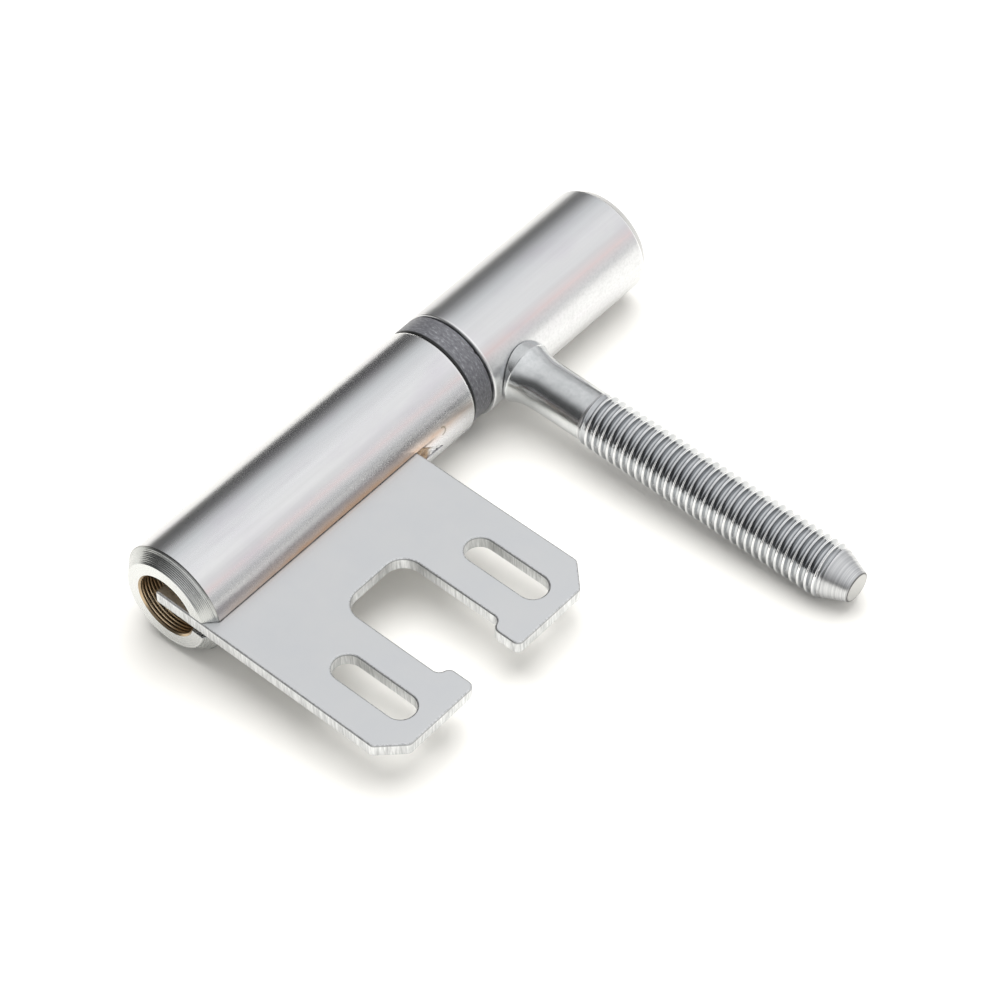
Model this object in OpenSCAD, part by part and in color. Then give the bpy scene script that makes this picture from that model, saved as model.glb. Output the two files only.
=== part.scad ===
// Drill-in hinge: a frame knuckle with a slotted fixing plate, and a door
// knuckle with a threaded stud that is screwed into the door's edge.
// The hinge axis is Y, with the door knuckle at +Y. The part lies on a table,
// with the plate and the stud on the +X side, and +Z is up. The origin is on
// the hinge axis, at the frame knuckle's bearing face.

/* [Barrel] */
// Outer diameter of both knuckles
barrel_d = 20; // [18:0.5:24]
// Length of the frame knuckle
frame_knuckle_len = 62.6; // [58:0.1:80]
// Length of the door knuckle
door_knuckle_len = 40; // [36:0.5:60]
// Length of the bevel at the frame knuckle's open end
end_bevel_len = 2.2; // [0.5:0.1:4]
// How far that bevel takes in the radius
end_bevel_depth = 1.9; // [0.5:0.1:2.6]
// Length of the bevel at the door knuckle's closed end
cap_bevel_len = 1.6; // [0.5:0.1:4]
// How far that bevel takes in the radius
cap_bevel_depth = 1.1; // [0.5:0.1:3]
// Broken edge at the bearing faces and the bore's mouth
edge_break = 0.3; // [0.1:0.1:0.6]

/* [Pin and bearing ring] */
// Diameter of the hinge pin
pin_d = 11; // [9:0.5:12]
// Clearance around the pin in the frame knuckle
pin_clear = 0.1; // [0.05:0.05:0.2]
// Length of pin that is pressed into the door knuckle
pin_hold = 30; // [20:0.5:32]
// Bevel at both ends of the pin
pin_bevel = 1; // [0.5:0.1:2]
// Thickness of the bearing ring
ring_len = 4.9; // [2:0.1:8]
// Outer diameter of the bearing ring
ring_d = 19.4; // [15:0.1:19.8]
// Clearance around the pin in the bearing ring
ring_play = 0.3; // [0.1:0.05:0.6]
// How far the loose ring has slid to the side
ring_shift = 0.2; // [0:0.05:0.25]
// Clearance between the ring's faces and the knuckles
face_gap = 0.1; // [0.05:0.05:0.3]

/* [Plate] */
// Thickness of the plate
plate_t = 2.5; // [2:0.1:3.2]
// Width of the plate along the hinge axis
plate_w = 48.6; // [46:0.1:54]
// Distance of the plate's outer edge from the hinge axis
plate_reach = 47.5; // [45:0.5:60]
// Height of the plate's middle above the hinge axis
plate_rise = 0.8; // [0:0.05:1.2]
// Bevel at the plate's two outer corners
corner_bevel = 4.2; // [1:0.1:5]
// Rounding of the bevels' ends
corner_round = 1.2; // [0.4:0.1:2]
// How far the tongue reaches past the hinge axis
tongue_reach = 2; // [0:0.1:3]
// Width of the tongue that crosses the bore
tongue_w = 14; // [6:0.5:18]

/* [Slots in the plate] */
// Width of the two screw slots
slot_w = 5.2; // [4.6:0.1:6.4]
// Length of the two screw slots
slot_len = 16; // [10:0.5:20]
// Distance of a slot's middle line from the plate's end
slot_edge = 8.7; // [7:0.1:10]
// Distance of the slots from the plate's outer edge
slot_margin = 3.5; // [2.5:0.1:6]

/* [Notch in the plate] */
// Width of the notch
notch_w = 14.3; // [12:0.1:16]
// Depth of the notch from the plate's outer edge
notch_depth = 26; // [20:0.5:30]
// Radius of the notch's inner corners
notch_round = 3.6; // [1:0.1:5]
// Width of the notch's mouth
mouth_w = 10.2; // [8:0.1:11]
// Length of the two lips at the mouth
lip_len = 4.2; // [3:0.1:6]
// Radius of the curves that lead to the lips
lip_round = 1.35; // [1.1:0.05:2]

/* [Slot in the frame knuckle] */
// Space below the plate in the knuckle's slot
weld_gap = 0.9; // [0.4:0.1:1.5]
// Distance past the plate at which the slot's slanted end starts
slant_start = 1.2; // [0.4:0.1:2]
// Length of the slanted end along the hinge axis
slant_len = 5; // [3:0.1:6]
// How far the filler metal reaches past the plate
fill_len = 3; // [1:0.1:4]
// Leg of the weld below the plate
weld_leg = 2.4; // [1:0.1:3.5]
// Distance of the weld from the knuckle's open end
weld_start = 10; // [4:0.5:20]

/* [Stud] */
// Distance of the stud's middle from the door knuckle's bearing face
stud_offset = 7.1; // [6.8:0.1:12]
// Distance of the stud's point from the hinge axis
stud_reach = 79; // [70:0.5:100]
// Outer diameter of the thread
thread_d = 9.8; // [9.2:0.1:11]
// Length of the thread
thread_len = 48.6; // [30:0.3:54]
// Depth of the thread
thread_depth = 0.78; // [0.5:0.01:1]
// Number of ridges along the thread
ridge_count = 20; // [16:1:32]
// Diameter of the neck between the flange and the thread
neck_d = 8.9; // [8.7:0.1:9.1]
// Diameter of the flange that sits on the knuckle
flange_d = 11; // [10.6:0.1:13]
// How far the flange stands out of the knuckle
flange_rise = 1; // [0.4:0.1:2]
// Flat rim of the flange, outside the curve that leads to the neck
flange_land = 0.2; // [0.1:0.05:0.5]
// Radius of the curve from the flange to the neck
neck_fillet = 3; // [1.5:0.1:5]
// Length of the cone at the stud's point
point_len = 5.4; // [2:0.1:8]
// Diameter of the flat end of the point
point_d = 5.4; // [3:0.1:7]
// Diameter of the spigot that is pressed into the knuckle
spigot_d = 8; // [6:0.1:9]
// Wall left between the spigot and the pin
spigot_floor = 0.5; // [0.3:0.1:1]
// Gap below the flange's saddle
saddle_gap = 0.15; // [0.05:0.05:0.3]

/* [Hidden] */
$fn = 96;
// Overlap that lets a cut run past a face
past = 1;

barrel_r = barrel_d / 2;
pin_r = pin_d / 2;
bore_r = pin_r + pin_clear;
thread_r = thread_d / 2;

// Places along the hinge axis
open_end_y = -frame_knuckle_len;
plate_far_y = open_end_y + plate_w;
door_face_y = ring_len + 2 * face_gap;
door_cap_y = door_face_y + door_knuckle_len;
pin_low_y = open_end_y + tongue_w + 2 * face_gap;
pin_top_y = door_face_y + pin_hold;
stud_y = door_face_y + stud_offset;

// The plate's levels, and the edge that is held in the knuckle's wall
plate_top_z = plate_rise + plate_t / 2;
plate_low_z = plate_rise - plate_t / 2;
slot_low_z = plate_low_z - weld_gap;
seat_depth = 0.6;
seat_x = bore_r + seat_depth;
notch_y = open_end_y + plate_w / 2;
// The turn of the plate's edge at a bevel
bevel_turn = 45;

// The thread begins where the cone's full diameter ends
cone_x = stud_reach - point_len;
thread_x = cone_x - thread_len;
ridge_pitch = thread_len / ridge_count;
spigot_x = pin_r + spigot_floor;

// The tilt at which the thread's last crest rests on the table with the barrel
crest_far = sqrt(pow(cone_x, 2) + pow(thread_r, 2));
lie_tilt = asin(barrel_r / crest_far) - atan2(thread_r, cone_x);

module laid_down() {
    rotate([0, lie_tilt, 0]) children();
}

// Turns a radius-and-height profile about the hinge axis
module turned_on_hinge() {
    rotate([-90, 0, 0]) rotate_extrude() children();
}

// Turns a radius-and-height profile about the stud's axis
module turned_on_stud() {
    translate([0, stud_y, 0]) rotate([0, 90, 0]) rotate_extrude() children();
}

// The slot through the knuckle's wall, whose upper side slants down at the far
// end until it meets the lower one
module knuckle_slot() {
    slant_y = plate_far_y + slant_start;
    rotate([90, 0, 90]) linear_extrude(barrel_d) polygon([
        [open_end_y - past, slot_low_z],
        [slant_y + slant_len, slot_low_z],
        [slant_y, plate_top_z],
        [open_end_y - past, plate_top_z]
    ]);
}

module frame_knuckle_solid() {
    difference() {
        turned_on_hinge() polygon([
            [bore_r + edge_break, open_end_y],
            [barrel_r - end_bevel_depth, open_end_y],
            [barrel_r, open_end_y + end_bevel_len],
            [barrel_r, -edge_break],
            [barrel_r - edge_break, 0],
            [bore_r + edge_break, 0],
            [bore_r, -edge_break],
            [bore_r, open_end_y + edge_break]
        ]);
        knuckle_slot();
    }
}

module frame_knuckle() {
    color("silver") laid_down() frame_knuckle_solid();
}

// A slot with round ends from x = 0 to len, along X
module long_hole(len, w) {
    translate([w / 2, 0]) circle(w / 2);
    translate([len - w / 2, 0]) circle(w / 2);
    translate([w / 2, -w / 2]) square([len - w, w]);
}

// What the corner of a bevel at the origin loses when it is rounded, with one
// side along -Y and the other towards +X and +Y
module blunt_corner(r) {
    start = r * tan(bevel_turn / 2);
    difference() {
        polygon([
            [0, -start],
            [0, 0],
            [start * sin(bevel_turn), start * cos(bevel_turn)],
            [r, -start]
        ]);
        translate([r, -start]) circle(r);
    }
}

// Half of the notch, on the +Y side of its middle line, with x from the outer
// edge inwards: the mouth, the two arcs behind the lip and the rounded end
module notch_half() {
    half_w = notch_w / 2;
    half_mouth = mouth_w / 2;
    step = half_w - half_mouth;
    centres = 2 * lip_round;
    run = sqrt(pow(centres, 2) - pow(centres - step, 2));
    wide_x = lip_len + run;
    translate([-past, 0]) square([lip_len + past, half_mouth]);
    difference() {
        polygon([
            [lip_len, 0],
            [lip_len, half_mouth + lip_round],
            [wide_x, half_w - lip_round],
            [wide_x, 0]
        ]);
        translate([lip_len, half_mouth + lip_round]) circle(lip_round);
    }
    translate([wide_x, half_w - lip_round]) circle(lip_round);
    translate([wide_x, 0]) square([notch_depth - wide_x, half_w - notch_round]);
    translate([wide_x, 0]) square([notch_depth - notch_round - wide_x, half_w]);
    translate([notch_depth - notch_round, half_w - notch_round]) circle(notch_round);
}

// One arm of the plate is cut: the long hole, the outer bevel and half the
// notch, drawn from the plate's middle line towards its end at +Y
module arm_cuts() {
    half_plate = plate_w / 2;
    translate([slot_margin, half_plate - slot_edge]) long_hole(slot_len, slot_w);
    notch_half();
    // the mouth's corner at the outer edge
    difference() {
        translate([-past, 0]) square([corner_round + past, mouth_w / 2 + corner_round]);
        translate([corner_round, mouth_w / 2 + corner_round]) circle(corner_round);
    }
    // the outer bevel
    polygon([
        [-past, half_plate - corner_bevel - past],
        [corner_bevel + past, half_plate + past],
        [-past, half_plate + past]
    ]);
    translate([0, half_plate - corner_bevel]) blunt_corner(corner_round);
    translate([corner_bevel, half_plate]) mirror([1, 1]) blunt_corner(corner_round);
}

module plate_solid() {
    translate([0, 0, plate_low_z]) linear_extrude(plate_t) difference() {
        union() {
            translate([seat_x, open_end_y]) square([plate_reach - seat_x, plate_w]);
            translate([-tongue_reach, open_end_y])
                square([plate_reach + tongue_reach, tongue_w]);
        }
        translate([plate_reach, notch_y]) mirror([1, 0]) {
            arm_cuts();
            mirror([0, 1]) arm_cuts();
        }
    }
}

module frame_plate() {
    color("gainsboro") laid_down() plate_solid();
}

// The weld fills the slot below and behind the plate, with a fillet outside
module plate_weld() {
    weld_y = open_end_y + weld_start;
    root_x = bore_r + seat_depth / 2;
    sunk_x = barrel_r - weld_gap;
    toe_x = barrel_r - weld_leg / 4;
    run = plate_far_y + fill_len - weld_y;
    color("dimgray") laid_down() difference() {
        union() {
            translate([root_x, weld_y, slot_low_z])
                cube([barrel_r - root_x, run, weld_gap]);
            translate([root_x, plate_far_y, slot_low_z])
                cube([sunk_x - root_x, fill_len, plate_top_z - slot_low_z]);
            translate([0, weld_y, 0]) rotate([90, 0, 0]) mirror([0, 0, 1])
                linear_extrude(plate_far_y - weld_y) polygon([
                    [barrel_r - weld_leg, plate_low_z],
                    [barrel_r + weld_leg, plate_low_z],
                    [toe_x, plate_low_z - weld_leg],
                    [barrel_r - weld_leg, slot_low_z]
                ]);
        }
        frame_knuckle_solid();
    }
}

module bearing_washer() {
    ring_r = ring_d / 2;
    inner_r = pin_r + ring_play;
    color("darkslategray") laid_down()
        translate([-ring_shift, face_gap, 0]) turned_on_hinge() polygon([
            [inner_r, 0],
            [ring_r - edge_break, 0],
            [ring_r, edge_break],
            [ring_r, ring_len - edge_break],
            [ring_r - edge_break, ring_len],
            [inner_r, ring_len]
        ]);
}

module door_knuckle() {
    color("silver") laid_down() difference() {
        turned_on_hinge() polygon([
            [0, pin_top_y],
            [pin_r, pin_top_y],
            [pin_r, door_face_y + edge_break],
            [pin_r + edge_break, door_face_y],
            [barrel_r - edge_break, door_face_y],
            [barrel_r, door_face_y + edge_break],
            [barrel_r, door_cap_y - cap_bevel_len],
            [barrel_r - cap_bevel_depth, door_cap_y],
            [0, door_cap_y]
        ]);
        translate([spigot_x, stud_y, 0]) rotate([0, 90, 0])
            cylinder(h = barrel_r, d = spigot_d);
    }
}

module hinge_pin() {
    color("gray") laid_down() turned_on_hinge() polygon([
        [0, pin_low_y],
        [pin_r - pin_bevel, pin_low_y],
        [pin_r, pin_low_y + pin_bevel],
        [pin_r, pin_top_y - pin_bevel],
        [pin_r - pin_bevel, pin_top_y],
        [0, pin_top_y]
    ]);
}

// The root before one ridge of the thread, and the ridge's crest
function ridge(i) = [
    [thread_r - thread_depth, thread_x + i * ridge_pitch - ridge_pitch / 2],
    [thread_r, thread_x + i * ridge_pitch]
];

module drill_in_stud() {
    neck_r = neck_d / 2;
    flange_r = flange_d / 2;
    flange_x = barrel_r + flange_rise;
    land_r = flange_r - flange_land;
    curve_r = neck_r + neck_fillet;
    curve_x = flange_x + sqrt(pow(neck_fillet, 2) - pow(curve_r - land_r, 2));
    saddle_r = barrel_r + saddle_gap;
    color("lightgray") laid_down() {
        difference() {
            turned_on_stud() {
                translate([0, spigot_x]) square([flange_r, flange_x - spigot_x]);
                difference() {
                    translate([0, spigot_x]) square([land_r, curve_x - spigot_x]);
                    translate([curve_r, curve_x]) circle(neck_fillet);
                }
            }
            turned_on_hinge() translate([0, door_face_y]) square([saddle_r, 2 * stud_offset]);
        }
        turned_on_stud() polygon(concat(
            [
                [0, spigot_x],
                [spigot_d / 2, spigot_x],
                [spigot_d / 2, flange_x],
                [neck_r, flange_x],
                [neck_r, thread_x]
            ],
            [for (i = [1 : ridge_count], corner = ridge(i)) corner],
            [
                [point_d / 2, stud_reach],
                [0, stud_reach]
            ]
        ));
    }
}

frame_knuckle();
frame_plate();
plate_weld();
bearing_washer();
door_knuckle();
hinge_pin();
drill_in_stud();
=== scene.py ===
"""Looks of a drill-in hinge that lies on a white table.

Lengths are in millimetres up to the moment a mesh is made. Each piece is drawn
with the hinge axis along Y and the stud along X, then laid down by the tilt at
which the part rests, and is in metres from there on.
"""
import math

import bmesh
import bpy
import numpy as np
from mathutils import Euler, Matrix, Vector, noise
from mathutils.geometry import tessellate_polygon


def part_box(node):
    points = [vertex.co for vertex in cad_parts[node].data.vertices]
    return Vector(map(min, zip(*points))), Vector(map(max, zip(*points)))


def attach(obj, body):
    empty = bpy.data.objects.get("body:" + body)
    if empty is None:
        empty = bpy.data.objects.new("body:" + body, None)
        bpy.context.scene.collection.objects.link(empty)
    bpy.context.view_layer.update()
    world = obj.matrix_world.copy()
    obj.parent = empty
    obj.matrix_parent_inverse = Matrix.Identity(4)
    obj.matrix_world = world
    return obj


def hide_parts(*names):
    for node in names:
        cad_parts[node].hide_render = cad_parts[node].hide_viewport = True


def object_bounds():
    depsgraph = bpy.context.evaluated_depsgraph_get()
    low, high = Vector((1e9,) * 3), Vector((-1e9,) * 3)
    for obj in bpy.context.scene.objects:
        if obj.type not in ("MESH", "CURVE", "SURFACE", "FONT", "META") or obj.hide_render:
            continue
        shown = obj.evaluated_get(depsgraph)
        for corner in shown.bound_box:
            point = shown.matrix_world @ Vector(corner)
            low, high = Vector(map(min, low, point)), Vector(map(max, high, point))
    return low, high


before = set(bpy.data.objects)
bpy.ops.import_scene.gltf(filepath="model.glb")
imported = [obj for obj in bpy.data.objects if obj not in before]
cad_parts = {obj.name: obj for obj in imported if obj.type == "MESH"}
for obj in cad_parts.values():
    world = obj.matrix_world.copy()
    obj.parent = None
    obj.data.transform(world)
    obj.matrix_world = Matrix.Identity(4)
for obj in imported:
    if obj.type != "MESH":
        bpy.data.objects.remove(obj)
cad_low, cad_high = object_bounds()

MM = 0.001

# Barrel, pin and ring
BARREL_R = 10.0
BORE_R = 5.6
PIN_R = 5.5
OPEN_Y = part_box("frame_knuckle")[0].y / MM
END_BEVEL_LEN = 2.2
END_BEVEL_DEPTH = 1.9
EDGE_BREAK = 0.3
RING_LEN = 4.9
RING_R = 9.7
RING_HOLE_R = 5.8
RING_SHIFT = 0.2
FACE_GAP = 0.1
DOOR_Y = RING_LEN + 2 * FACE_GAP
CAP_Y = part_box("door_knuckle")[1].y / MM
CAP_BEVEL_LEN = 1.6
CAP_BEVEL_DEPTH = 1.1
PIN_LOW_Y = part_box("hinge_pin")[0].y / MM
PIN_TOP_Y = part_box("hinge_pin")[1].y / MM

# Plate
PLATE_T = 2.5
PLATE_TOP = 0.8 + PLATE_T / 2
PLATE_LOW = PLATE_TOP - PLATE_T
PLATE_W = 48.6
PLATE_REACH = 47.5
PLATE_FAR_Y = OPEN_Y + PLATE_W
SEAT_X = 6.2
TONGUE_X = -2.0
TONGUE_W = 14.0
CORNER_BEVEL = 4.2
CORNER_ROUND = 1.2
HOLE_W = 5.2
HOLE_LEN = 16.0
HOLE_EDGE = 8.7
HOLE_MARGIN = 3.5
NOTCH_W = 14.3
NOTCH_DEPTH = 26.0
NOTCH_ROUND = 3.6
MOUTH_W = 10.2
LIP_LEN = 4.2
LIP_ROUND = 1.35

# Slot of the knuckle: its lower lip, and the slanted end of its upper lip
SLOT_LOW = PLATE_LOW - 0.9
SLANT_START_Y = OPEN_Y + 49.8
SLANT_END_Y = OPEN_Y + 54.8

# Stud
STUD_Y = DOOR_Y + 7.1
STUD_REACH = 79.0
CONE_X = 73.6
THREAD_X = 25.0
CREST_R = 4.9
ROOT_R = 4.12
NECK_R = 4.45
PITCH = 1.5
POINT_R = 2.7
FLANGE_R = 5.42
FLANGE_X = 11.0
FLARE_LEN = 4.6
FLARE_STEPS = 24
FLARE_POWER = 2.4
SADDLE_R = 10.12
SPIGOT_R = 4.0
SPIGOT_X = 6.0

# The tilt at which the thread's last crest and the barrel rest on the table
REST_TILT = math.asin(BARREL_R / math.hypot(CONE_X, CREST_R)) - math.atan2(CREST_R, CONE_X)

# Fine forms
LIP_CHAMFER = 0.1
SEAM_GAP = 0.08
STAKE_Y = OPEN_Y + 54.6
STAKE_ANGLE = 8.5
BEVEL_PITCH = 0.28
BEVEL_GROOVE = 0.04
BEVEL_STEPS = 44
RING_PITCH = 0.62
RING_DEPTH = 0.07
RINGS_END_Y = OPEN_Y + 12.0
STRIATION = 0.13
SHEAR_DEPTH = 0.02
RUN_IN = 1.8
THREAD_END_X = CONE_X + 2.0

# Filler: where the slot's fill ends, where the low seam starts and its size, and
# the thin bead on the slot's upper lip
FILL_END_Y = SLANT_END_Y - 0.3
SEAM_START_Y = OPEN_Y + 10
SEAM_SIZE = 1.9
LIP_BEAD_R = 0.13
LIP_BEAD_STEPS = 25

# A sheared edge from the top face down: inset, drop and share of the streaks
SHEAR_ROWS = ((0.30, 0.0, 0.0), (0.16, 0.035, 0.0), (0.06, 0.12, 0.1), (0.01, 0.28, 0.4),
              (0.0, 0.6, 0.8), (0.0, 1.0, 1.0), (0.01, 1.5, 1.2), (0.02, 2.0, 1.3),
              (0.03, 2.3, 1.0), (0.06, 2.42, 0.5), (0.16, 2.5, 0.0))

# One turn of the rolled thread: share of the pitch and of the height, with the
# seam that rolling leaves in the middle of the crest
THREAD_SHAPE = ((0.00, 0.00), (0.07, 0.01), (0.14, 0.09), (0.21, 0.28), (0.28, 0.58),
                (0.345, 0.85), (0.375, 0.95), (0.40, 1.0), (0.42, 1.0), (0.45, 0.92),
                (0.485, 0.87), (0.52, 0.92), (0.55, 1.0), (0.57, 1.0), (0.60, 0.93),
                (0.66, 0.68), (0.74, 0.34), (0.83, 0.08), (0.92, 0.01))

# Nick in the ring's edge: degrees round the ring, width in degrees, length along
# the ring and depth, and how far wear lifts or sinks the rest of the edge
NICK_ANGLE = 52
NICK_WIDTH = 2.2
NICK_LEN = 0.5
NICK_DEPTH = 0.28
WEAR_DEPTH = 0.012

# Segments round the turned pieces
TUBE_SEGMENTS = 224
RING_SEGMENTS = 256
PIN_SEGMENTS = 128
STUD_SEGMENTS = 120
SEAT_SEGMENTS = 96

# Camera: place in mm, turn in degrees and focal length in pixels of the photo
PHOTO_SIZE = 999
CAMERA_PLACE = (297.303, -306.948, 435.129)
CAMERA_TURN = (42.5797, 1.8859, 40.6157)
CAMERA_FOCUS = 3698.8
SENSOR_WIDTH = 36
CAMERA_CLIP = (0.01, 20)

# World: the soft box's direction, and the level by the cosine of the angle from it
SOFT_BOX = (0.557, 0.309, 0.770)
SURROUND = ((-0.3, 0.07), (0.0, 0.1), (0.18, 0.26), (0.36, 0.68), (0.6, 0.8), (0.95, 1.0))
SURROUND_BLUE = 1.01
# Gain by height, as a share of straight up
HEIGHT_LEVELS = ((0.0, 0.82), (0.15, 0.94), (0.3, 1.04), (0.54, 0.9), (0.72, 1.07))
# A flag dims the world low on the right, from this share of the X direction on
FLAG_EDGE = 0.84
FLAG_SOFT = 0.1
FLAG_LEVEL = 0.4

# Lamp, in metres and watts, aimed at the part's middle from LAMP_TOWARDS
LAMP_SIZE = 0.9
LAMP_DISTANCE = 0.7
LAMP_POWER = 5.6
LAMP_TOWARDS = (-0.22, 0.2, 0.95)
PART_MIDDLE = (cad_low + cad_high) / 2

# Floor: half its side in metres, and its plain pale colour
FLOOR_HALF = 3.0
FLOOR_COLOUR = (0.93, 0.916, 0.875)
FLOOR_GRAIN = 1.03

# Colours of the knuckles
TUBE_COOL = (0.735, 0.745, 0.76)
TUBE_WARM = (0.775, 0.775, 0.775)
BAND_PINK = (0.83, 0.715, 0.71)
BAND_BLUE = (0.74, 0.775, 0.79)
TUBE_STAIN = (0.70, 0.675, 0.72)
# Painted highlight along the knuckles' end edges
EDGE_PAINTED_HIGHLIGHT = (0.98, 0.98, 0.98)
SEAM_GREY_BAND = (0.43, 0.415, 0.43)
HEAT_TINT = (0.62, 0.43, 0.31)
HEAT_BURN = (0.05, 0.035, 0.025)
# Painted shade of a punch mark's dent
STAKE_PAINTED_SHADE = (0.2, 0.17, 0.11)
BORE_BROWN = (0.42, 0.31, 0.19)
BORE_TAN = (0.74, 0.6, 0.42)
TURNED_DARK = (0.47, 0.48, 0.47)
TURNED_PALE = (0.58, 0.59, 0.58)
TURNED_BURR = (0.12, 0.11, 0.1)
TURNED_FLAT = (0.72, 0.73, 0.72)
FACED_COOL = (0.70, 0.71, 0.72)
FACED_WARM = (0.77, 0.775, 0.78)

# Mottling on the knuckles: scale, and the degrees below which it sets in
MOTTLE_SCALE = 1900
MOTTLE_ANGLE = 44
MOTTLE_FADE = 14

# Colours of the plate and its filler
PLATE_COOL = (0.78, 0.797, 0.81)
PLATE_WARM = (0.82, 0.832, 0.835)
SHEAR_DARK = (0.5, 0.51, 0.515)
SHEAR_PALE = (0.86, 0.87, 0.875)
# Painted dark reflection where the plate's top edge rolls over
SHEAR_PAINTED_REFLECTION = (0.24, 0.245, 0.25)
BRAZE_BROWN = (0.16, 0.10, 0.06)
BRAZE_TAN = (0.48, 0.35, 0.24)
# Pale far end of the bead: partly clean metal, partly a painted highlight
BRAZE_PALE_HIGHLIGHT = (0.85, 0.85, 0.85)

# Colours of the ring and the pin
RING_DARK = (0.10, 0.10, 0.112)
RING_SLATE = (0.17, 0.172, 0.186)
RING_RUBBED = (0.34, 0.345, 0.36)
RING_WORN = (0.42, 0.43, 0.44)
RING_SHADED = (0.015, 0.016, 0.016)
PIN_DARK = (0.50, 0.50, 0.49)
PIN_PALE = (0.60, 0.60, 0.60)

# Colours of the stud
STUD_COOL = (0.70, 0.71, 0.72)
STUD_WARM = (0.76, 0.765, 0.77)
NECK_DARK = (0.62, 0.64, 0.645)
NECK_PALE = (0.71, 0.725, 0.73)
NECK_GLOSS = 0.12
# Painted shade in the thread's grooves, and crests paler, partly from wear and partly as a painted
# highlight
GROOVE_SHADE_DARK = (0.46, 0.475, 0.49)
GROOVE_SHADE_PALE = (0.58, 0.595, 0.61)
CREST_WORN_HIGHLIGHT = (0.96, 0.965, 0.97)
CONE_DARK = (0.42, 0.43, 0.44)
CONE_PALE = (0.74, 0.745, 0.75)
TIP_GREY = (0.52, 0.52, 0.51)
TIP_RIM = (0.08, 0.08, 0.08)


def laid_down(points):
    """Points in mm, with the stud along X, as points in metres on the table."""
    cosine, sine = math.cos(REST_TILT), math.sin(REST_TILT)
    turn = np.array([[cosine, 0, sine], [0, 1, 0], [-sine, 0, cosine]])
    return np.asarray(points, float) @ turn.T * MM


def make_piece(name, points, faces, body, node, material, sharp=35):
    """A mesh object on its body, standing for its CAD node."""
    mesh = bpy.data.meshes.new(name)
    mesh.from_pydata(laid_down(points).tolist(), [], faces)
    bm = bmesh.new()
    bm.from_mesh(mesh)
    bmesh.ops.remove_doubles(bm, verts=bm.verts, dist=0.002 * MM)
    bmesh.ops.dissolve_degenerate(bm, edges=bm.edges, dist=0.001 * MM)
    bmesh.ops.recalc_face_normals(bm, faces=bm.faces)
    limit = math.radians(sharp)
    for face in bm.faces:
        face.smooth = True
    for edge in bm.edges:
        if len(edge.link_faces) == 2 and edge.calc_face_angle(0) > limit:
            edge.smooth = False
    bm.to_mesh(mesh)
    bm.free()
    piece = bpy.data.objects.new(name, mesh)
    bpy.context.scene.collection.objects.link(piece)
    mesh.materials.append(material)
    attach(piece, body)
    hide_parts(node)
    return piece


def rounded(points, radii, steps=5):
    """A closed outline with its corners turned into arcs of the given radii."""
    made = []
    count = len(points)
    for i, (p, radius) in enumerate(zip(points, radii)):
        p = np.array(p, float)
        if radius <= 0:
            made.append(tuple(p))
            continue
        back = np.array(points[i - 1], float) - p
        on = np.array(points[(i + 1) % count], float) - p
        back /= np.linalg.norm(back)
        on /= np.linalg.norm(on)
        half = math.acos(max(-1.0, min(1.0, float(back @ on)))) / 2
        reach = radius / math.tan(half)
        centre = p + (back + on) / np.linalg.norm(back + on) * radius / math.sin(half)
        start = p + back * reach - centre
        end = p + on * reach - centre
        sweep = math.pi - 2 * half
        for k in range(steps + 1):
            t = k / steps
            arc = (math.sin((1 - t) * sweep) * start + math.sin(t * sweep) * end) / math.sin(sweep)
            made.append(tuple(centre + arc))
    return made


def divided(points, longest, closed=True):
    """An outline with no side longer than asked."""
    made = []
    count = len(points)
    for i in range(count if closed else count - 1):
        a = np.array(points[i], float)
        b = np.array(points[(i + 1) % count], float)
        parts = max(1, math.ceil(np.linalg.norm(b - a) / longest))
        made.extend(tuple(a + (b - a) * k / parts) for k in range(parts))
    if not closed:
        made.append(tuple(points[-1]))
    return made


def lathe(profile, segments, closed=True, wave=None):
    """Turns (radius, y) points about the Y axis. wave(radius, y, angle) may change a radius."""
    points, faces = [], []
    rings = len(profile)
    for radius, y in profile:
        for k in range(segments):
            angle = 2 * math.pi * k / segments
            r = wave(radius, y, angle) if wave else radius
            points.append((r * math.cos(angle), y, r * math.sin(angle)))
    for i in range(rings if closed else rings - 1):
        low, high = i * segments, (i + 1) % rings * segments
        for k in range(segments):
            on = (k + 1) % segments
            faces.append((low + k, low + on, high + on, high + k))
    return points, faces


def slot_top(y):
    """Height of the slot's upper lip, which slants down to the lower one at its end."""
    share = (y - SLANT_START_Y) / (SLANT_END_Y - SLANT_START_Y)
    return PLATE_TOP + SEAM_GAP + (SLOT_LOW - PLATE_TOP - SEAM_GAP) * min(max(share, 0.0), 1.0)


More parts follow.
